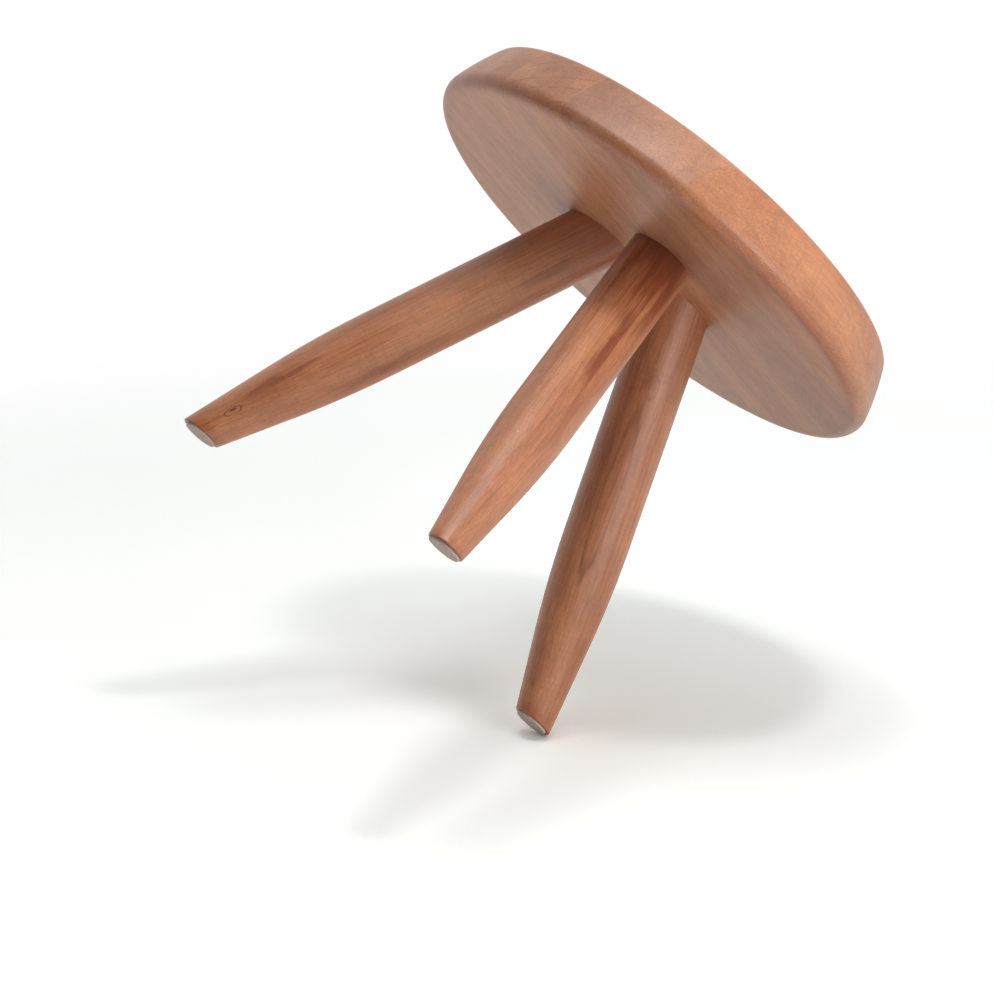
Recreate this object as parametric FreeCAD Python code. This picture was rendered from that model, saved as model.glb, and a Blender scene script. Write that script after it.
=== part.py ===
import FreeCAD, Part
import math
import os

# Low round wooden stool with three splayed legs, standing on its feet.
# Millimetres, +Z up. The origin is on the seat's centre line, level with the floor.
# The seat's grain runs along Y. One leg stands at the rear, two at the front.

stool_height = 290.0              # floor to the top of the seat

# Seat
seat_diameter = 330.0
seat_thickness = 41.0
underside_round = 8.0             # radius of the edge under the seat
side_lean = 14.0                  # degrees that the side leans in where it leaves that edge
side_bow_radius = 160.0           # from there the side is one shallow arc that leans in further
top_round = 4.5                   # radius of the edge on top of the seat
glue_lines = (-126.0, -66.0, -4.0, 50.0, 126.0)   # where the boards meet, along X

# Legs
leg_azimuths = {"rear": 90.0, "front_left": 210.0, "front_right": 330.0}
leg_splay = 26.0                  # degrees from upright
leg_circle_radius = 38.2          # centre line of the seat to a leg's axis, at the underside
leg_diameter = 42.5
foot_diameter = 24.5              # across the leg's axis, where that axis meets the floor
taper_length = 91.0               # floor to the corner that the shoulder arc rounds off
shoulder_radius = 680.0           # arc that blends the straight leg into its taper
foot_edge_round = 0.8

# Glued joint between leg and seat
housing_depth = 11.5              # whole leg let into the seat, along the leg's axis
tenon_diameter = 30.0
tenon_length = 17.0               # beyond the housing
tenon_chamfer = 1.5
glue_gap = 0.1                    # all round a leg and its tenon
glue_pocket = 1.0                 # room for glue at the end of the bore

# Round pads under the feet
pad_diameter = 22.0
pad_thickness = 1.5
pad_edge_round = 0.3

# Worked out from the sizes above
seat_radius = seat_diameter / 2
underside_height = stool_height - seat_thickness
splay = math.radians(leg_splay)
leg_radius = leg_diameter / 2
foot_radius = foot_diameter / 2
leg_length = underside_height / math.cos(splay)   # floor to underside, along the axis
foot_circle_radius = leg_circle_radius + underside_height * math.tan(splay)
beyond = 2 * seat_diameter                        # larger than the whole stool


def point(radius, height):
    return FreeCAD.Vector(radius, 0, height)


def arc(centre, radius, start, end):
    """Edge of a circle in the XZ plane, between two angles in radians from +X."""
    spots = [
        point(centre.x + radius * math.cos(angle), centre.z + radius * math.sin(angle))
        for angle in (start, (start + end) / 2, end)
    ]
    return Part.Arc(*spots).toShape()


def turned(edges):
    """Solid of revolution about Z of an open outline that starts and ends on Z."""
    first = edges[0].Vertexes[0].Point
    last = edges[-1].Vertexes[-1].Point
    outline = Part.Wire(edges + [Part.makeLine(last, first)])
    return Part.Face(outline).revolve(FreeCAD.Vector(0, 0, 0), FreeCAD.Vector(0, 0, 1), 360)


def seat_blank():
    """The whole seat disc, before it is told apart into its boards."""
    low = underside_height
    lean = math.radians(side_lean)
    round_centre = point(seat_radius - underside_round, low + underside_round)
    outer = side_bow_radius - underside_round
    side_centre = point(
        round_centre.x - outer * math.cos(lean),
        round_centre.z - outer * math.sin(lean),
    )
    inner = side_bow_radius - top_round
    side_end = math.asin((stool_height - top_round - side_centre.z) / inner)
    top_centre = point(side_centre.x + inner * math.cos(side_end), stool_height - top_round)
    edges = [
        Part.makeLine(point(0, low), point(round_centre.x, low)),
        arc(round_centre, underside_round, -math.pi / 2, lean),
        arc(side_centre, side_bow_radius, lean, side_end),
        arc(top_centre, top_round, side_end, math.pi / 2),
        Part.makeLine(point(top_centre.x, stool_height), point(0, stool_height)),
    ]
    return turned(edges)


def leg_blank():
    """A leg with its tenon, upright on Z, with the floor at zero and the foot not yet cut."""
    taper_angle = math.atan((leg_radius - foot_radius) / taper_length)
    blend = shoulder_radius * math.tan(taper_angle / 2)
    shoulder_centre = point(leg_radius - shoulder_radius, taper_length + blend)
    below = -leg_radius
    below_radius = foot_radius + below * math.tan(taper_angle)
    taper_top = point(
        shoulder_centre.x + shoulder_radius * math.cos(taper_angle),
        shoulder_centre.z - shoulder_radius * math.sin(taper_angle),
    )
    housing = leg_length + housing_depth
    tenon_radius = tenon_diameter / 2
    tenon_top = housing + tenon_length
    edges = [
        Part.makeLine(point(0, below), point(below_radius, below)),
        Part.makeLine(point(below_radius, below), taper_top),
        arc(shoulder_centre, shoulder_radius, -taper_angle, 0),
    ]
    corners = [
        (leg_radius, shoulder_centre.z),
        (leg_radius, housing),
        (tenon_radius, housing),
        (tenon_radius, tenon_top - tenon_chamfer),
        (tenon_radius - tenon_chamfer, tenon_top),
        (0, tenon_top),
    ]
    for start, end in zip(corners, corners[1:]):
        edges.append(Part.makeLine(point(*start), point(*end)))
    return turned(edges)


def bore_tool():
    """What the drill takes out of the seat for one leg, upright on Z like the leg."""
    housing = leg_length + housing_depth
    start = leg_length - leg_radius
    wide = Part.makeCylinder(leg_radius + glue_gap, housing - start, point(0, start))
    narrow_length = tenon_length + glue_pocket
    narrow = Part.makeCylinder(tenon_diameter / 2 + glue_gap, narrow_length, point(0, housing))
    return wide.fuse(narrow)


def splayed(upright, azimuth):
    """Lean a leg-shaped solid out by the splay and stand it at its azimuth."""
    shape = upright.copy()
    centre = FreeCAD.Vector(0, 0, 0)
    shape.rotate(centre, FreeCAD.Vector(0, 1, 0), -leg_splay)
    shape.translate(FreeCAD.Vector(foot_circle_radius, 0, 0))
    shape.rotate(centre, FreeCAD.Vector(0, 0, 1), azimuth)
    return shape


def above(height):
    """A block that holds everything over a level."""
    corner = FreeCAD.Vector(-beyond / 2, -beyond / 2, height)
    return Part.makeBox(beyond, beyond, beyond, corner)


def lowest_face(shape):
    return min(shape.Faces, key=lambda face: face.CenterOfMass.z)


def leg(azimuth):
    """A leg in place, its foot cut level with the floor at the top of the pad."""
    standing = splayed(leg_blank(), azimuth).common(above(pad_thickness)).Solids[0]
    return standing.makeFillet(foot_edge_round, lowest_face(standing).Edges)


def foot_pad(leg_shape):
    """A thin disc under the middle of a leg's foot."""
    middle = lowest_face(leg_shape).CenterOfMass
    base = FreeCAD.Vector(middle.x, middle.y, 0)
    disc = Part.makeCylinder(pad_diameter / 2, pad_thickness, base)
    return disc.makeFillet(pad_edge_round, lowest_face(disc).Edges)


def seat_boards():
    """The seat cut along its glue lines, with the bores for the legs."""
    seat = seat_blank()
    for azimuth in leg_azimuths.values():
        seat = seat.cut(splayed(bore_tool(), azimuth))
    sides = (-seat_diameter,) + glue_lines + (seat_diameter,)
    boards = []
    for low, high in zip(sides, sides[1:]):
        corner = FreeCAD.Vector(low, -beyond / 2, 0)
        boards.append(seat.common(Part.makeBox(high - low, beyond, beyond, corner)))
    return boards


def build():
    nodes = {}
    for number, board in enumerate(seat_boards(), start=1):
        nodes["seat_board_%d" % number] = board
    for place, azimuth in leg_azimuths.items():
        nodes["leg_" + place] = leg(azimuth)
        nodes["foot_pad_" + place] = foot_pad(nodes["leg_" + place])
    return nodes


def write(nodes):
    os.makedirs("parts", exist_ok=True)
    for name, shape in nodes.items():
        solid = shape.Solids[0] if len(shape.Solids) == 1 else shape
        solid.exportStep("parts/%s.step" % name)
        box = solid.optimalBoundingBox(False, False)
        print(
            "%-22s solids %d valid %s volume %.0f mm3, x %.1f..%.1f y %.1f..%.1f z %.2f..%.2f"
            % (name, len(solid.Solids), solid.isValid(), solid.Volume,
               box.XMin, box.XMax, box.YMin, box.YMax, box.ZMin, box.ZMax)
        )


write(build())
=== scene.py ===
import math

import bmesh
import bpy
from mathutils import Matrix, Vector, noise


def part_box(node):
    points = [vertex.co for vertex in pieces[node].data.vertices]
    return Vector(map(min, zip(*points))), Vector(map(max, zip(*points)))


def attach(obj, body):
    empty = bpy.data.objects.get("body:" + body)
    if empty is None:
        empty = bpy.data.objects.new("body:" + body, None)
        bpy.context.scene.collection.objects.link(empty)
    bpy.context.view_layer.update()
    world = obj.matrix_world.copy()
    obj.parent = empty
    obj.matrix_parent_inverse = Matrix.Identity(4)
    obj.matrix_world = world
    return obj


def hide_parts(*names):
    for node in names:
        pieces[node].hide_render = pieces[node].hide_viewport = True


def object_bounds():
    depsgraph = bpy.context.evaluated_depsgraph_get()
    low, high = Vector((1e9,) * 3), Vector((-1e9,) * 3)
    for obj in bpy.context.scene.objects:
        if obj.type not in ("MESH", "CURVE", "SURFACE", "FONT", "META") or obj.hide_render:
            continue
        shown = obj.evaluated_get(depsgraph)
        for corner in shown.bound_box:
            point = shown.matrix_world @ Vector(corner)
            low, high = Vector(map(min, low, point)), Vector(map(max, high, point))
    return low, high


# Low round stool with three splayed legs, in satin reddish wood, seen from below as in the photo.
# Metres, +Z up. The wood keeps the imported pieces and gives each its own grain.

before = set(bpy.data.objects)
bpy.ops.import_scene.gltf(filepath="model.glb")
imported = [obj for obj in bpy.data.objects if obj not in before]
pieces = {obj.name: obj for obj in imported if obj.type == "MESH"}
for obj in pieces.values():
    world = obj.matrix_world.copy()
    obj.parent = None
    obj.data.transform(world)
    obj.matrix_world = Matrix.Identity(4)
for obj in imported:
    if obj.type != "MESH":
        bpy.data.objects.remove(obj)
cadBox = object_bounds()
print("frame loaded,", len(pieces), "pieces")

millimetre = 0.001


# Small helpers for shader nodes

def addNode(tree, kind, inputs=None, **settings):
    made = tree.nodes.new("ShaderNode" + kind)
    for name, value in settings.items():
        setattr(made, name, value)
    for name, value in (inputs or {}).items():
        plug(tree, made.inputs[name], value)
    return made


def plug(tree, socket, value):
    if isinstance(value, bpy.types.NodeSocket):
        tree.links.new(value, socket)
    else:
        socket.default_value = value


def maths(tree, operation, *values):
    made = addNode(tree, "Math", operation=operation)
    for socket, value in zip(made.inputs, values):
        plug(tree, socket, value)
    return made.outputs[0]


def vectorMaths(tree, operation, *values):
    made = addNode(tree, "VectorMath", operation=operation)
    for socket, value in zip(made.inputs, values):
        plug(tree, socket, value)
    return made.outputs["Value" if operation in ("LENGTH", "DOT_PRODUCT") else "Vector"]


def scaled(tree, vector, factor):
    made = addNode(tree, "VectorMath", {"Vector": vector, "Scale": factor}, operation="SCALE")
    return made.outputs["Vector"]


def rise(tree, value, low, high, top=1.0):    # 0 below low, top above high
    inputs = {"Value": value, "From Min": low, "From Max": high, "To Min": 0.0, "To Max": top}
    made = addNode(tree, "MapRange", inputs, interpolation_type="SMOOTHSTEP")
    return made.outputs["Result"]


def fall(tree, value, low, high, top=1.0):    # top below low, 0 above high
    inputs = {"Value": value, "From Min": low, "From Max": high, "To Min": top, "To Max": 0.0}
    made = addNode(tree, "MapRange", inputs, interpolation_type="SMOOTHSTEP")
    return made.outputs["Result"]


def blendColour(tree, share, under, over):
    made = addNode(tree, "Mix", data_type="RGBA")
    plug(tree, made.inputs[0], share)
    for socket, colour in ((made.inputs[6], under), (made.inputs[7], over)):
        plug(tree, socket, colour if isinstance(colour, bpy.types.NodeSocket) else (*colour, 1.0))
    return made.outputs[2]


def newMaterial(name):
    material = bpy.data.materials.new(name)
    material.use_nodes = True
    material.node_tree.nodes.clear()
    return material, material.node_tree


# Wood: growth rings round a pith, fibres along the grain, pores, streaks, knots and stains, with some
# painted light and shade

wood = {
    "wander": 7 * millimetre,         # how far the rings stray from true circles
    "lateWood": (0.30, 0.88),         # share of a year's growth over which the dark ring comes up
    "ringEnd": (0.90, 1.0),           # and over which it stops
    "pushReach": 3.0,                 # how far out a mark bends the rings, in its half widths
    "poreDepth": 0.32,
    "endShade": 0.34,                 # end grain soaks up more oil
    "endFacing": (0.25, 0.95),        # how squarely a face cuts the fibres, from side to end grain
    "roughness": 0.44,
    "fibreRoughness": 0.12,
    "gloss": 0.70,
    "bumpStrength": 0.20,
    "bumpDepth": 0.3 * millimetre,
    "ringHeight": -0.4,               # against the height of a fibre
    "glueLineHeight": -3.0,
    "glueLineWidth": 0.5 * millimetre,
    "edgeWearAndShadeStrength": 0.85,                # edges are redder, darker and smoother, in patches: wear at the feet, painted shade along the seat's lower rim
    "edgeWearAndShadeColour": (0.360, 0.100, 0.036),
    "edgePatches": (0.25, 0.55),
    "edgeSmoother": 0.08,
    # scratches on the seat, painted pale as a glint of light
    "scuffWidth": 0.7 * millimetre,
    "scuffStretch": 30,
    "scuffShows": (0.62, 0.78),
    "scuffPatches": (0.3, 0.7),
    "scuffGlintColour": (0.760, 0.560, 0.440),
}

# Unevenness in the wood: how wide it is across the fibres, how many times longer along them,
# how fine it goes, and either which of its values show or how far it changes the light.
# Ripple is the faint bars across the grain, mottle the smoky patches where the oil went deeper,
# and faint is where the rings fade away.
woodLayers = {
    "wander": {"width": 60 * millimetre, "stretch": 3.0, "detail": 3.0},
    "broad": {"width": 30 * millimetre, "stretch": 5.0, "detail": 2.0, "shows": (0.32, 0.68)},
    "band": {"width": 2.6 * millimetre, "stretch": 20.0, "detail": 3.0, "contrast": 0.36},
    "fibre": {"width": 0.75 * millimetre, "stretch": 22.0, "detail": 2.0, "contrast": 0.80},
    "pore": {"width": 0.5 * millimetre, "stretch": 7.0, "detail": 1.0, "shows": (0.62, 0.74)},
    "streak": {"width": 4 * millimetre, "stretch": 18.0, "detail": 3.0, "shows": (0.52, 0.74)},
    "ripple": {"width": 18 * millimetre, "stretch": 0.12, "detail": 1.0, "contrast": 0.22},
    "mottle": {"width": 8 * millimetre, "stretch": 2.2, "detail": 5.0, "contrast": 0.48},
    "faint": {"width": 16 * millimetre, "stretch": 5.0, "detail": 2.0, "shows": (0.34, 0.62)},
}

seatWood = {
    "pale": (0.590, 0.262, 0.130),
    "deep": (0.470, 0.192, 0.090),
    "ring": (0.290, 0.095, 0.037),
    "streak": (0.250, 0.076, 0.029),
}

legWood = {
    "pale": (0.480, 0.190, 0.086),
    "deep": (0.355, 0.124, 0.052),
    "ring": (0.220, 0.063, 0.022),
    "streak": (0.180, 0.044, 0.014),
}

# what a mark in the wood is coloured with, and how far out from its middle it is solid
markKinds = {
    "knot": {"colour": (0.060, 0.018, 0.009), "solid": 0.45, "uneven": 0.3, "by": "fibre"},
    "heart": {"colour": (0.205, 0.040, 0.012), "solid": 0.25, "uneven": 2.4, "by": "streak"},
    # dark smoky patches; at the top of the front right leg this is painted shade under the seat
    "smokeAndPaintedShade": {"colour": (0.190, 0.058, 0.024), "solid": 0.00, "uneven": 1.6, "by": "mottle"},
    "pale": {"colour": (0.700, 0.430, 0.280), "solid": 0.30, "uneven": 0.3, "by": "fibre"},
    "outline": {"colour": (0.130, 0.036, 0.014), "line": 0.20, "uneven": 0.5, "by": "fibre"},
    # painted light: a pale patch that lightens a leg where it lies in shade
    "paintedLightPatch": {"colour": (0.640, 0.300, 0.160), "solid": 0.00, "uneven": 0.8, "by": "mottle"},
}


def grainNoise(tree, spot, name, seed):
    layer = woodLayers[name]
    width = layer["width"]
    inputs = {
        "Vector": vectorMaths(tree, "DIVIDE", spot, (width, width, width * layer["stretch"])),
        "W": seed + list(woodLayers).index(name),
        "Scale": 1.0,
        "Detail": layer["detail"],
    }
    return addNode(tree, "TexNoise", inputs, noise_dimensions="4D")


def showing(tree, noises, name, top=1.0):    # where a layer of the wood comes out
    return rise(tree, noises[name], *woodLayers[name]["shows"], top)


def grainSpot(tree, origin, turned):    # Z of this runs along the fibres, with the pith at X = Y = 0
    inputs = {
        "Vector": addNode(tree, "TexCoord").outputs["Object"],
        "Location": origin,
        "Rotation": turned.to_euler("XYZ"),
    }
    return addNode(tree, "Mapping", inputs, vector_type="TEXTURE").outputs["Vector"]


def strayed(tree, spot, seed):    # no grain is dead straight
    stray = grainNoise(tree, spot, "wander", seed).outputs["Color"]
    stray = scaled(tree, vectorMaths(tree, "SUBTRACT", stray, (0.5, 0.5, 0.5)), wood["wander"])
    return vectorMaths(tree, "ADD", spot, stray)


def ringLines(tree, spot, grain, pushes):    # dark lines round the pith, some years stronger
    radius = vectorMaths(tree, "LENGTH", vectorMaths(tree, "MULTIPLY", spot, (1.0, 1.0, 0.0)))
    for push in pushes:
        radius = maths(tree, "ADD", radius, push)
    count = maths(tree, "DIVIDE", radius, grain["ringWidth"])
    share = maths(tree, "FRACT", count)
    late = maths(tree, "MULTIPLY", rise(tree, share, *wood["lateWood"]), fall(tree, share, *wood["ringEnd"]))
    year = addNode(tree, "TexWhiteNoise", {"W": maths(tree, "FLOOR", count)}, noise_dimensions="1D")
    strength = rise(tree, year.outputs["Value"], 0.0, 1.0, grain["ringStrength"])
    noises = {"faint": grainNoise(tree, spot, "faint", grain["seed"]).outputs[0]}
    strength = maths(tree, "MULTIPLY", strength, showing(tree, noises, "faint"))
    return maths(tree, "MULTIPLY", late, strength)


def markShapes(tree, spot, marks):    # how far each mark's middle is, in its own half widths
    ways = []
    for mark in marks:
        across = mark["width"] * millimetre / 2
        size = (across, across, mark["length"] * millimetre / 2)
        offset = vectorMaths(tree, "SUBTRACT", spot, mark["spot"])
        ways.append(vectorMaths(tree, "LENGTH", vectorMaths(tree, "DIVIDE", offset, size)))
    return ways


def markColour(tree, colour, mark, away, noises):
    kind = markKinds[mark["kind"]]
    uneven = maths(tree, "SUBTRACT", noises[kind["by"]], 0.5)
    away = maths(tree, "MULTIPLY_ADD", uneven, kind["uneven"], away)
    if "line" in kind:
        away = maths(tree, "ABSOLUTE", maths(tree, "SUBTRACT", away, 1.0))
        share = fall(tree, away, 0.0, kind["line"], mark["strength"])
    else:
        share = fall(tree, away, kind["solid"], 1.0, mark["strength"])
    return blendColour(tree, share, colour, kind["colour"])


def scuffGlintLines(tree, angle, seed):    # fine scratches with a painted glint: pale lines at an angle round the seat's centre line
    inputs = {
        "Vector": addNode(tree, "TexCoord").outputs["Object"],
        "Rotation": (0.0, 0.0, math.radians(angle)),
    }
    spot = addNode(tree, "Mapping", inputs).outputs["Vector"]
    width = wood["scuffWidth"]
    inputs = {
        "Vector": vectorMaths(tree, "DIVIDE", spot, (width, width * wood["scuffStretch"], width)),
        "W": seed,
        "Scale": 1.0,
        "Detail": 1.0,
    }
    lines = addNode(tree, "TexNoise", inputs, noise_dimensions="4D").outputs[0]
    return rise(tree, lines, *wood["scuffShows"])


def glueLines(tree, joints):    # a thin line where this board meets its neighbours, darker or paler
    spot = addNode(tree, "TexCoord").outputs["Object"]
    acrossSeat = addNode(tree, "SeparateXYZ", {"Vector": spot}).outputs["X"]
    lines = 0.0
    for edge, shade in joints:
        away = maths(tree, "ABSOLUTE", maths(tree, "SUBTRACT", acrossSeat, edge))
        lines = maths(tree, "ADD", lines, fall(tree, away, 0.0, wood["glueLineWidth"], shade))
    return lines


def paintedShadeTowardsBack(tree, paintedShadeSlope):    # painted shade: darker towards the back of the part, lighter towards the front
    spot = addNode(tree, "TexCoord").outputs["Object"]
    depth = addNode(tree, "SeparateXYZ", {"Vector": spot}).outputs["Y"]
    return maths(tree, "MULTIPLY_ADD", depth, -paintedShadeSlope, 1.0)


def woodMaterial(finish, colours, grain, origin, turned, edgeWearAndShadeNear):
    material, tree = newMaterial(finish)
    seed = grain["seed"]
    spot = strayed(tree, grainSpot(tree, origin, turned), seed)
    ways = markShapes(tree, spot, grain["marks"])
    pushes = [
        fall(tree, away, 0.0, wood["pushReach"], mark["push"] * millimetre)
        for mark, away in zip(grain["marks"], ways) if "push" in mark
    ]
    rings = ringLines(tree, spot, grain, pushes)

    noises = {}
    for name in ("broad", "band", "fibre", "pore", "streak", "ripple", "mottle"):
        noises[name] = grainNoise(tree, spot, name, seed).outputs[0]
    along = turned @ Vector((0.0, 0.0, 1.0))
    facing = vectorMaths(tree, "DOT_PRODUCT", addNode(tree, "TexCoord").outputs["Normal"], along)
    endGrain = rise(tree, maths(tree, "ABSOLUTE", facing), *wood["endFacing"], wood["endShade"])
    edgeWearAndShadeMask = maths(tree, "MULTIPLY", edgeWearAndShadeNear(tree), rise(tree, noises["mottle"], *wood["edgePatches"]))

    colour = blendColour(tree, showing(tree, noises, "broad"), colours["pale"], colours["deep"])
    colour = blendColour(tree, rings, colour, colours["ring"])
    streaks = showing(tree, noises, "streak", grain["streakStrength"])
    colour = blendColour(tree, streaks, colour, colours["streak"])
    for mark, away in zip(grain["marks"], ways):
        colour = markColour(tree, colour, mark, away, noises)
    # painted shade along the seat's lower rim, and wear at the feet: the edge turns redder and darker
    edgeWearAndShadeShare = maths(tree, "MULTIPLY", edgeWearAndShadeMask, wood["edgeWearAndShadeStrength"])
    colour = blendColour(tree, edgeWearAndShadeShare, colour, wood["edgeWearAndShadeColour"])
    # painted glints: pale scratch lines on the seat
    for angle, strength in grain["scuffGlints"]:
        scuffGlints = scuffGlintLines(tree, angle, seed + angle)
        patches = rise(tree, noises["broad"], *wood["scuffPatches"], strength)
        colour = blendColour(tree, maths(tree, "MULTIPLY", scuffGlints, patches), colour, wood["scuffGlintColour"])

    light = 1.0
    for name in ("band", "fibre", "ripple", "mottle"):
        uneven = maths(tree, "SUBTRACT", noises[name], 0.5)
        change = maths(tree, "MULTIPLY_ADD", uneven, woodLayers[name]["contrast"], 1.0)
        light = maths(tree, "MULTIPLY", light, change)
    pores = showing(tree, noises, "pore", wood["poreDepth"])
    lines = glueLines(tree, grain["joints"])
    for dark in (pores, endGrain, lines):
        light = maths(tree, "MULTIPLY", light, maths(tree, "SUBTRACT", 1.0, dark))
    # painted shade, darker towards the back of the seat
    light = maths(tree, "MULTIPLY", light, paintedShadeTowardsBack(tree, grain["paintedShadeSlope"]))
    colour = vectorMaths(tree, "MULTIPLY", scaled(tree, colour, light), grain["tone"])

    height = maths(tree, "MULTIPLY_ADD", rings, wood["ringHeight"], noises["fibre"])
    height = maths(tree, "SUBTRACT", height, pores)
    height = maths(tree, "MULTIPLY_ADD", maths(tree, "ABSOLUTE", lines), wood["glueLineHeight"], height)
    bump = addNode(tree, "Bump", {
        "Strength": wood["bumpStrength"],
        "Distance": wood["bumpDepth"],
        "Height": height,
    })
    smoothest = wood["roughness"] - wood["fibreRoughness"] / 2
    rough = maths(tree, "MULTIPLY_ADD", noises["fibre"], wood["fibreRoughness"], smoothest)
    satin = addNode(tree, "BsdfPrincipled", {
        "Base Color": colour,
        "Roughness": maths(tree, "MULTIPLY_ADD", edgeWearAndShadeMask, -wood["edgeSmoother"], rough),
        "Specular IOR Level": wood["gloss"],
        "Normal": bump.outputs[0],
    })
    addNode(tree, "OutputMaterial", {"Surface": satin.outputs[0]})
    return material


def dress(piece, material):
    piece.data.materials.clear()
    piece.data.materials.append(material)


# Seat boards, grain along Y. Each board was cut from another place in a log.
# Pith is in millimetres, tilt and turn in degrees. Joint is how dark the glue line is on a board's
# side away from the first board, and below zero the line is paler than the wood.

seatBoards = {
    "seat_board_1": {
        "pith": (-150, 330), "tilt": 0.6, "turn": 1.0, "ringWidth": 3.4, "tone": (0.96, 0.96, 0.96),
        "seed": 3.0, "rings": 0.30, "joint": 0.08,
    },
    "seat_board_2": {
        "pith": (-70, 205), "tilt": -0.5, "turn": -0.8, "ringWidth": 3.0, "tone": (1.00, 1.00, 1.00),
        "seed": 11.0, "rings": 0.30, "joint": 0.10,
    },
    "seat_board_3": {
        "pith": (-40, 340), "tilt": 0.4, "turn": 0.6, "ringWidth": 3.6, "tone": (0.98, 0.98, 0.98),
        "seed": 19.0, "rings": 0.30, "joint": 0.24,
    },
    "seat_board_4": {
        "pith": (130, 90), "tilt": 0.3, "turn": 0.8, "ringWidth": 3.2, "tone": (0.98, 0.94, 0.90),
        "seed": 27.0, "rings": 0.55, "joint": -0.12,
    },
    # boards 5 and 6 are toned darker, as painted shade on that side of the seat, on top of their own colour
    "seat_board_5": {
        "pith": (95, 190), "tilt": 1.2, "turn": -4.0, "ringWidth": 3.4, "tone": (0.83, 0.84, 0.90),
        "seed": 35.0, "rings": 0.25, "joint": 0.10,
    },
    "seat_board_6": {
        "pith": (120, 215), "tilt": 0.5, "turn": -2.0, "ringWidth": 3.0, "tone": (0.90, 0.82, 0.73),
        "seed": 43.0, "rings": 0.30, "joint": 0.0,
    },
}
seatStreakStrength = 0.10
seatScuffGlints = ((28, 0.30), (-40, 0.22))    # degrees round, and how pale
seatPaintedShadeSlope = 0.95                          # painted shade: share of light per metre, gained towards the front
# where the painted shade runs round the seat's lower rim
seatRimPaintedShade = {"inFromRim": 6 * millimetre, "up": 4 * millimetre, "reach": 10 * millimetre}

# marks at places in the seat, in millimetres
seatMarks = {
    "seat_board_6": [
        {
            "kind": "knot", "place": (153.6, -60.5, 251.0), "width": 2.6, "length": 4.0,
            "strength": 0.9, "push": 1.2,
        },
    ],
}


def sawnTurn(board):    # turns Z of the grain to lie along Y, with the board's own slant
    turn = Matrix.Rotation(math.radians(board["turn"]), 3, "Z")
    tilt = Matrix.Rotation(math.radians(board["tilt"] - 90), 3, "X")
    return turn @ tilt


def rimPaintedShade(rim, underside):    # how near a spot is to the edge under the seat, where shade is painted in as a darker, redder band
    def edgeWearAndShadeNear(tree):
        spot = addNode(tree, "TexCoord").outputs["Object"]
        level = vectorMaths(tree, "MULTIPLY", spot, (1.0, 1.0, 0.0))
        out = maths(tree, "SUBTRACT", vectorMaths(tree, "LENGTH", level), rim - seatRimPaintedShade["inFromRim"])
        up = addNode(tree, "SeparateXYZ", {"Vector": spot}).outputs["Z"]
        up = maths(tree, "SUBTRACT", up, underside + seatRimPaintedShade["up"])
        squares = maths(tree, "ADD", maths(tree, "POWER", out, 2.0), maths(tree, "POWER", up, 2.0))
        return fall(tree, maths(tree, "SQRT", squares), 0.0, seatRimPaintedShade["reach"])
    return edgeWearAndShadeNear


def inGrain(place, origin, turned):    # a place on the part, as its grain sees it
    return turned.inverted() @ (Vector(place) - Vector(origin))


def dressSeat():
    names = sorted(seatBoards)
    boxes = {name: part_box(name) for name in names}
    rim = max(high.y for low, high in boxes.values())
    edgeWearAndShadeNear = rimPaintedShade(rim, boxes[names[0]][0].z)
    before = 0.0
    for name in names:
        board = seatBoards[name]
        low, high = boxes[name]
        across, up = board["pith"]
        pith = (across * millimetre, 0.0, up * millimetre)
        turned = sawnTurn(board)
        marks = [
            {**mark, "spot": inGrain(Vector(mark["place"]) * millimetre, pith, turned)}
            for mark in seatMarks.get(name, ())
        ]
        sides = ((low.x, before), (high.x, board["joint"]))
        grain = {
            "seed": board["seed"],
            "tone": board["tone"],
            "ringWidth": board["ringWidth"] * millimetre,
            "ringStrength": board["rings"],
            "streakStrength": seatStreakStrength,
            "scuffGlints": seatScuffGlints,
            "paintedShadeSlope": seatPaintedShadeSlope,
            "marks": marks,
            "joints": [(edge, shade) for edge, shade in sides if shade],
        }
        dress(pieces[name], woodMaterial(name + "Wood", seatWood, grain, pith, turned, edgeWearAndShadeNear))
        before = board["joint"]
    print("seat boards finished")


# Legs, grain along the leg. Along is measured up the leg from the floor, in millimetres,
# and around in degrees from the leg's outer side.

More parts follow.
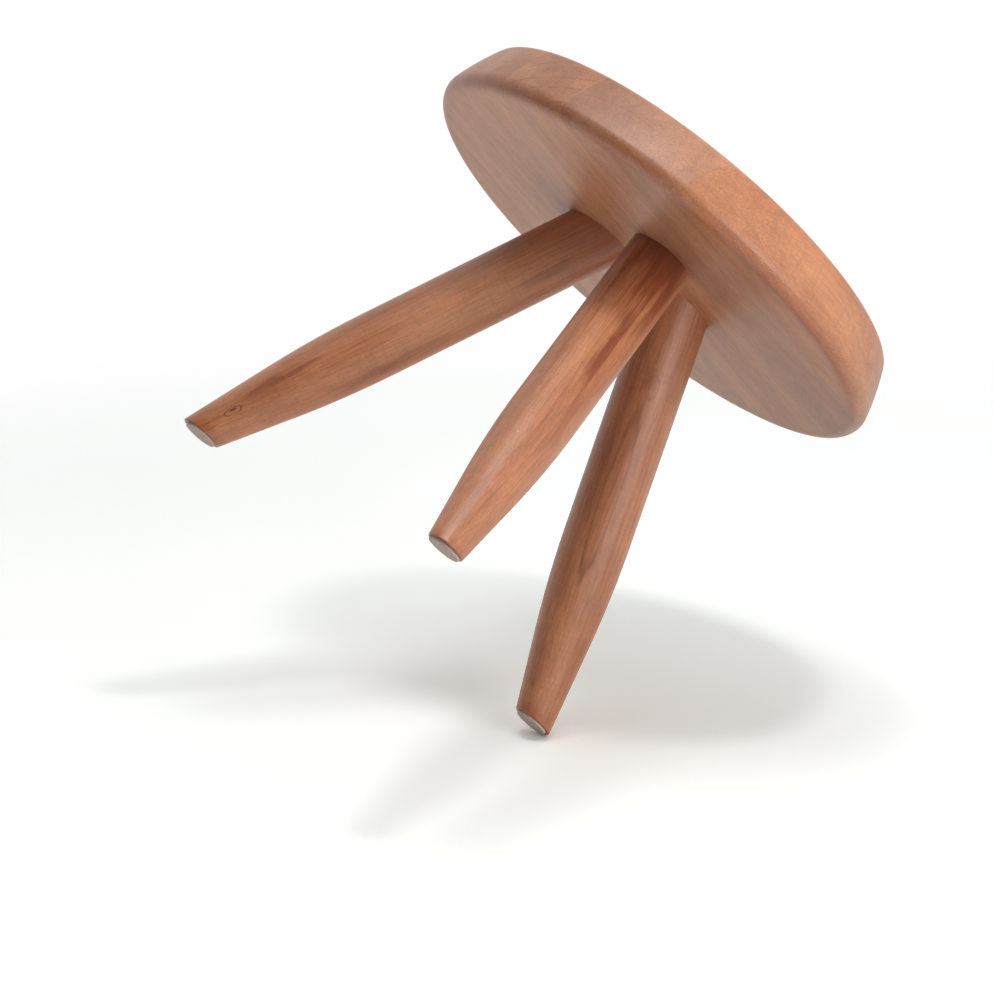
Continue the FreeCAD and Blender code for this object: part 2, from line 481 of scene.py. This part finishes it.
legSplay = 26.0    # degrees from upright
legTurning = {
    "foot": 12.25,      # radius at the floor, in millimetres
    "shank": 21.25,     # and above the taper
    "taper": 91.0,
    "scuffed": (3 * millimetre, 10 * millimetre),
}
legs = {
    "leg_rear": {
        "pith": (24, 200), "lean": 0.9, "ringWidth": 3.6, "ringStrength": 0.28, "streakStrength": 0.22,
        "tone": (0.97, 0.95, 0.93), "seed": 51.0,
        "marks": [
            {
                "kind": "outline", "along": 150, "around": 231, "width": 11, "length": 110,
                "strength": 0.45, "push": 3.0,
            },
            {
                "kind": "outline", "along": 224, "around": 241, "width": 9, "length": 15,
                "strength": 0.30, "push": 1.0,
            },
            {"kind": "heart", "along": 150, "around": 197, "width": 16, "length": 240, "strength": 0.30},
            {"kind": "smokeAndPaintedShade", "along": 228, "around": 232, "width": 16, "length": 22, "strength": 0.35},
        ],
    },
    "leg_front_left": {
        "pith": (30, 60), "lean": -0.5, "ringWidth": 3.0, "ringStrength": 0.26, "streakStrength": 0.24,
        "tone": (1.02, 0.98, 0.92), "seed": 59.0,
        "marks": [
            {"kind": "heart", "along": 60, "around": 90, "width": 9, "length": 80, "strength": 0.55},
            # painted light over the leg's half near the seat, which lies in the shade of the seat and the
            # other front leg
            {"kind": "paintedLightPatch", "along": 185, "around": 112, "width": 44, "length": 170, "strength": 0.70},
            {"kind": "smokeAndPaintedShade", "along": 236, "around": 138, "width": 14, "length": 60, "strength": 0.40},
            {"kind": "smokeAndPaintedShade", "along": 120, "around": 160, "width": 14, "length": 90, "strength": 0.35},
            {
                "kind": "outline", "along": 25, "around": 104, "width": 5.0, "length": 12,
                "strength": 0.80, "push": 2.0,
            },
            {"kind": "knot", "along": 25.5, "around": 101, "width": 2.6, "length": 8, "strength": 0.75},
            {"kind": "knot", "along": 14, "around": 140, "width": 1.6, "length": 3, "strength": 0.7},
            {"kind": "knot", "along": 8, "around": 124, "width": 1.4, "length": 2.4, "strength": 0.6},
            {"kind": "knot", "along": 178, "around": 132, "width": 1.3, "length": 3, "strength": 0.6},
        ],
    },
    "leg_front_right": {
        "pith": (36, 120), "lean": 0.3, "ringWidth": 2.6, "ringStrength": 0.24, "streakStrength": 0.36,
        "tone": (1.05, 1.03, 1.00), "seed": 67.0,
        "marks": [
            # the top of this leg: heartwood stain, and at its very top the smoke mark, painted shade under
            # the seat
            {"kind": "heart", "along": 262, "around": 5, "width": 62, "length": 150, "strength": 0.92},
            {"kind": "heart", "along": 176, "around": 12, "width": 11, "length": 110, "strength": 0.90},
            {"kind": "heart", "along": 120, "around": 24, "width": 9, "length": 90, "strength": 0.55},
            {"kind": "smokeAndPaintedShade", "along": 268, "around": 340, "width": 34, "length": 50, "strength": 0.85},
            {"kind": "knot", "along": 186, "around": 326, "width": 1.2, "length": 3, "strength": 0.8},
            {"kind": "knot", "along": 170, "around": 334, "width": 1.1, "length": 3, "strength": 0.8},
            {"kind": "knot", "along": 208, "around": 30, "width": 1.2, "length": 3, "strength": 0.7},
            {"kind": "pale", "along": 87, "around": 336, "width": 1.8, "length": 3, "strength": 0.8},
            {"kind": "pale", "along": 80, "around": 340, "width": 1.4, "length": 2.4, "strength": 0.7},
            {"kind": "pale", "along": 65, "around": 345, "width": 1.6, "length": 4, "strength": 0.7},
        ],
    },
}


def legPlace(name):    # where the leg's axis meets the floor, and how the leg is turned
    low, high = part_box(name.replace("leg", "foot_pad"))
    foot = Vector(((low.x + high.x) / 2, (low.y + high.y) / 2, 0.0))
    azimuth = math.atan2(foot.y, foot.x)
    turned = Matrix.Rotation(azimuth, 3, "Z") @ Matrix.Rotation(math.radians(-legSplay), 3, "Y")
    return foot, turned


def onLeg(mark, foot, turned):    # the place of a mark on the leg's surface
    share = min(mark["along"] / legTurning["taper"], 1.0)
    out = legTurning["foot"] + (legTurning["shank"] - legTurning["foot"]) * share
    angle = math.radians(mark["around"])
    spot = Vector((out * math.cos(angle), out * math.sin(angle), mark["along"]))
    return foot + turned @ (spot * millimetre)


def footHandled(tree):    # how near a spot is to the edge of the foot
    spot = addNode(tree, "TexCoord").outputs["Object"]
    up = addNode(tree, "SeparateXYZ", {"Vector": spot}).outputs["Z"]
    return fall(tree, up, *legTurning["scuffed"])


def dressLegs():
    for name, leg in legs.items():
        foot, turned = legPlace(name)
        away, around = leg["pith"]
        offset = Vector((math.cos(math.radians(around)), math.sin(math.radians(around)), 0.0))
        pith = foot + turned @ (offset * away * millimetre)
        leanAxis = offset.cross(Vector((0, 0, 1)))
        leaning = turned @ Matrix.Rotation(math.radians(leg["lean"]), 3, leanAxis)
        marks = [
            {**mark, "spot": inGrain(onLeg(mark, foot, turned), pith, leaning)}
            for mark in leg["marks"]
        ]
        grain = {
            "seed": leg["seed"],
            "tone": leg["tone"],
            "ringWidth": leg["ringWidth"] * millimetre,
            "ringStrength": leg["ringStrength"],
            "streakStrength": leg["streakStrength"],
            "marks": marks,
            "joints": (),
            "scuffGlints": (),
            "paintedShadeSlope": 0.0,
        }
        dress(pieces[name], woodMaterial(name + "Wood", legWood, grain, pith, leaning, footHandled))
    print("legs finished")


# Felt pads under the feet: a grey-brown face, and a paler side that is painted light

felt = {
    "face": (0.500, 0.365, 0.300),
    # painted light: the side of the pad is paler than its face
    "edge": (0.560, 0.440, 0.370),
    "fleck": (0.300, 0.190, 0.145),
    "roughness": 0.95,
    "sheen": 0.35,
    "matted": 1400.0,         # fine matting to a metre
    "clumps": 420.0,          # and coarser clumps
    "clumpShows": (0.45, 0.70),
    "fleckShare": 0.8,
    "contrast": 0.7,
    "bumpStrength": 0.5,
    "bumpDepth": 0.2 * millimetre,
    "edgeFacing": (0.10, 0.45),    # how upright a face is, from the cut edge to the flat face
    "fuzz": 0.10 * millimetre,
    "fuzzAcross": 1800,       # lumps to a metre
    "fuzzUp": 4000,
    "fuzzyFace": 0.5 * millimetre,    # the face under the foot is lumpy up to this height
    "hollow": 0.05 * millimetre,      # middle of that face, above the floor
    "edgeRound": 0.3 * millimetre,
    "edgeSteps": 4,
    "turns": 96,
    "rings": 18,
}


def feltMaterial():
    material, tree = newMaterial("padFelt")
    coordinates = addNode(tree, "TexCoord")
    spot = coordinates.outputs["Object"]
    matted = addNode(tree, "TexNoise", {"Vector": spot, "Scale": felt["matted"], "Detail": 4.0}).outputs[0]
    clumps = addNode(tree, "TexNoise", {"Vector": spot, "Scale": felt["clumps"], "Detail": 2.0}).outputs[0]
    upright = addNode(tree, "SeparateXYZ", {"Vector": coordinates.outputs["Normal"]}).outputs["Z"]
    edge = fall(tree, maths(tree, "ABSOLUTE", upright), *felt["edgeFacing"])
    flecks = rise(tree, clumps, *felt["clumpShows"], felt["fleckShare"])
    face = blendColour(tree, flecks, felt["face"], felt["fleck"])
    # painted light: the side of the pad takes the paler colour
    colour = blendColour(tree, edge, face, felt["edge"])
    light = maths(tree, "MULTIPLY_ADD", maths(tree, "SUBTRACT", matted, 0.5), felt["contrast"], 1.0)
    bump = addNode(tree, "Bump", {
        "Strength": felt["bumpStrength"],
        "Distance": felt["bumpDepth"],
        "Height": matted,
    })
    fuzzy = addNode(tree, "BsdfPrincipled", {
        "Base Color": scaled(tree, colour, light),
        "Roughness": felt["roughness"],
        "Sheen Weight": felt["sheen"],
        "Normal": bump.outputs[0],
    })
    addNode(tree, "OutputMaterial", {"Surface": fuzzy.outputs[0]})
    return material


def padRing(mesh, centre, radius, height, rough):    # one ring of the felt, drawn in where it is rough
    ring = []
    for step in range(felt["turns"]):
        angle = 2 * math.pi * step / felt["turns"]
        spot = Vector((math.cos(angle), math.sin(angle), 0.0)) * radius
        lumps = (centre + spot) * felt["fuzzAcross"] + Vector((0, 0, height * felt["fuzzUp"]))
        fuzz = noise.noise(lumps) * felt["fuzz"]
        spot *= 1 - rough * abs(fuzz) / max(radius, felt["fuzz"])
        lift = rough * abs(fuzz) if height < felt["fuzzyFace"] else 0.0
        ring.append(mesh.verts.new((spot.x, spot.y, height + lift)))
    return ring


def feltPad(node, material):
    low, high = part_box(node)
    centre = Vector(((low.x + high.x) / 2, (low.y + high.y) / 2, 0.0))
    radius, thickness = (high.x - low.x) / 2, high.z - low.z
    edgeRound, steps = felt["edgeRound"], felt["edgeSteps"]
    mesh = bmesh.new()
    rings = []
    for step in range(1, felt["rings"] + 1):
        rings.append(padRing(mesh, centre, (radius - edgeRound) * step / felt["rings"], 0.0, 1.0))
    for step in range(1, steps + 1):
        angle = math.radians(90 * step / steps)
        outward = radius - edgeRound * (1 - math.sin(angle))
        rings.append(padRing(mesh, centre, outward, edgeRound * (1 - math.cos(angle)), 1.0))
    for step in range(1, steps + 1):
        height = edgeRound + (thickness - edgeRound) * step / steps
        rings.append(padRing(mesh, centre, radius, height, 1.0 if step < steps else 0.0))
    for inner, outer in zip(rings, rings[1:]):
        for here in range(len(inner)):
            there = (here + 1) % len(inner)
            mesh.faces.new((inner[there], inner[here], outer[here], outer[there]))
    bottom = mesh.verts.new((0.0, 0.0, felt["hollow"]))
    top = mesh.verts.new((0.0, 0.0, thickness))
    for here in range(felt["turns"]):
        there = (here + 1) % felt["turns"]
        mesh.faces.new((bottom, rings[0][here], rings[0][there]))
        mesh.faces.new((top, rings[-1][there], rings[-1][here]))
    bmesh.ops.recalc_face_normals(mesh, faces=mesh.faces)
    data = bpy.data.meshes.new(node + "_felt")
    mesh.to_mesh(data)
    mesh.free()
    for face in data.polygons:
        face.use_smooth = True
    pad = bpy.data.objects.new(node + "_felt", data)
    bpy.context.scene.collection.objects.link(pad)
    pad.location = centre
    dress(pad, material)
    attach(pad, "root")
    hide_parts(node)


def makePads():
    material = feltMaterial()
    for name in legs:
        feltPad(name.replace("leg", "foot_pad"), material)
    print("felt pads finished")


# Camera, as the photo was taken: from below the floor's level, with the stool tipped over

photoView = {
    "azimuth": -36.137,       # degrees round from +X
    "elevation": -11.890,
    "roll": 39.899,
    "aim": (0.0754, -0.0278, 0.0598),
    "distance": 3.0,
    "lens": 182.29,           # millimetres, on a sensor this wide
    "sensor": 36.0,
}


def makeCamera():
    azimuth, elevation = math.radians(photoView["azimuth"]), math.radians(photoView["elevation"])
    level = math.cos(elevation)
    back = Vector((math.cos(azimuth) * level, math.sin(azimuth) * level, math.sin(elevation)))
    camera = bpy.data.objects.new("photoCamera", bpy.data.cameras.new("photoCamera"))
    bpy.context.scene.collection.objects.link(camera)
    straight = back.to_track_quat("Z", "Y").to_matrix()
    turned = straight @ Matrix.Rotation(math.radians(photoView["roll"]), 3, "Z")
    camera.location = Vector(photoView["aim"]) + back * photoView["distance"]
    camera.rotation_euler = turned.to_euler()
    camera.data.lens = photoView["lens"]
    camera.data.sensor_width = photoView["sensor"]
    bpy.context.scene.camera = camera
    print("camera in place")
    return turned


# Studio: a white floor under the tipped stool, another under its feet, soft lamps

studio = {
    "floorTilt": 18.0,        # degrees that the photo's camera looks down at the floor
    "floorSize": 3.0,
    "floorColour": (0.79, 0.81, 0.79),
    "seenColour": (1.16, 1.20, 1.175),   # the same floor to the camera, so that it comes out white
    "fade": (0.55, 0.95),     # metres from the stool, where the floor turns plain white
    "ambient": 0.75,          # light from the white sweep, behind and above
    "roomLight": 0.14,        # light from the unlit room, to the left of the camera
    "roomGloss": 0.03,        # and what a gloss shows of that room
    "roomTowards": (-0.45, 0.0, 0.89),
    "roomEdge": (-0.35, 0.75),    # how squarely a direction faces that room, from sweep to room
    "sweepGloss": 1.0,        # what a gloss shows of the white sweep
}

# direction from the stool: to the right, up and to the front of the photo
lamps = {
    "overhead": {"towards": (-0.04, 0.98, 0.15), "distance": 2.0, "size": 0.60, "watts": 8.6},
    "rightHigh": {"towards": (0.206, 0.937, 0.281), "distance": 2.0, "size": 0.22, "watts": 7.4},
    "rightFront": {"towards": (0.60, 0.14, 0.78), "distance": 2.2, "size": 1.50, "watts": 30.0},
}


def seenRays(tree):    # 1 for what the camera sees, straight on or in a gloss
    path = addNode(tree, "LightPath")
    seen = maths(tree, "MAXIMUM", path.outputs["Is Camera Ray"], path.outputs["Is Glossy Ray"])
    return maths(tree, "MAXIMUM", seen, path.outputs["Is Transmission Ray"])


def mixShader(tree, share, under, over):
    made = addNode(tree, "MixShader", {0: share, 1: under, 2: over})
    return made.outputs[0]


def floorMaterial():
    material, tree = newMaterial("whiteFloor")
    seen = seenRays(tree)
    colour = blendColour(tree, seen, studio["floorColour"], studio["seenColour"])
    lit = addNode(tree, "BsdfDiffuse", {"Color": colour}).outputs[0]
    white = addNode(tree, "Emission").outputs[0]
    away = vectorMaths(tree, "LENGTH", addNode(tree, "TexCoord").outputs["Object"])
    far = maths(tree, "MULTIPLY", rise(tree, away, *studio["fade"]), seen)
    faded = mixShader(tree, far, lit, white)
    oneSided = mixShader(
        tree,
        addNode(tree, "NewGeometry").outputs["Backfacing"],
        faded,
        addNode(tree, "BsdfTransparent").outputs[0],
    )
    addNode(tree, "OutputMaterial", {"Surface": oneSided})
    return material


def makeFloor(name, centre, up, material):
    half = studio["floorSize"] / 2
    corners = [(-half, -half, 0), (half, -half, 0), (half, half, 0), (-half, half, 0)]
    data = bpy.data.meshes.new(name)
    data.from_pydata(corners, [], [(0, 1, 2, 3)])
    floor = bpy.data.objects.new(name, data)
    bpy.context.scene.collection.objects.link(floor)
    floor.location = centre
    floor.rotation_euler = up.to_track_quat("Z", "Y").to_euler()
    dress(floor, material)
    return floor


def lowestSpot(up):    # the point of the stool that touches a floor with this upward direction
    spots = [vertex.co for name in pieces for vertex in pieces[name].data.vertices]
    return min(spots, key=lambda spot: spot.dot(up))


def makeStudio(cameraTurn):
    right, cameraUp, back = (cameraTurn.col[number].copy() for number in range(3))
    tilt = math.radians(studio["floorTilt"])
    up = cameraUp * math.cos(tilt) + back * math.sin(tilt)
    front = back * math.cos(tilt) - cameraUp * math.sin(tilt)
    material = floorMaterial()
    touch = lowestSpot(up).copy()
    makeFloor("photoFloor", touch, up, material)
    level = makeFloor("levelFloor", Vector((0.0, 0.0, 0.0)), Vector((0.0, 0.0, 1.0)), material)
    level.visible_diffuse = False
    level.visible_glossy = False
    level.visible_transmission = False
    level.visible_shadow = False

    middle = (cadBox[0] + cadBox[1]) / 2
    for name, lamp in lamps.items():
        toRight, toUp, toFront = lamp["towards"]
        towards = (right * toRight + up * toUp + front * toFront).normalized()
        data = bpy.data.lights.new(name, "AREA")
        data.shape = "SQUARE"
        data.size = lamp["size"]
        data.energy = lamp["watts"]
        light = bpy.data.objects.new(name, data)
        bpy.context.scene.collection.objects.link(light)
        light.location = middle + towards * lamp["distance"]
        light.rotation_euler = towards.to_track_quat("Z", "Y").to_euler()

    world = bpy.data.worlds.new("studioWorld")
    world.use_nodes = True
    tree = world.node_tree
    tree.nodes.clear()
    toRight, toUp, toFront = studio["roomTowards"]
    room = right * toRight + up * toUp + front * toFront
    direction = addNode(tree, "TexCoord").outputs["Generated"]
    towardsRoom = rise(tree, vectorMaths(tree, "DOT_PRODUCT", direction, room), *studio["roomEdge"])
    lights = []
    for sweep, unlit in (("ambient", "roomLight"), ("sweepGloss", "roomGloss")):
        change = studio[unlit] - studio[sweep]
        lights.append(maths(tree, "MULTIPLY_ADD", towardsRoom, change, studio[sweep]))
    path = addNode(tree, "LightPath")
    mixed = addNode(tree, "Mix", {0: path.outputs["Is Glossy Ray"], 2: lights[0], 3: lights[1]})
    strength = maths(tree, "MAXIMUM", path.outputs["Is Camera Ray"], mixed.outputs[0])
    background = addNode(tree, "Background", {"Color": (1.0, 1.0, 1.0, 1.0), "Strength": strength})
    addNode(tree, "OutputWorld", {"Surface": background.outputs[0]})
    bpy.context.scene.world = world
    print("studio lit")


dressSeat()
dressLegs()
makePads()
makeStudio(makeCamera())
bpy.context.scene.view_settings.view_transform = "Standard"
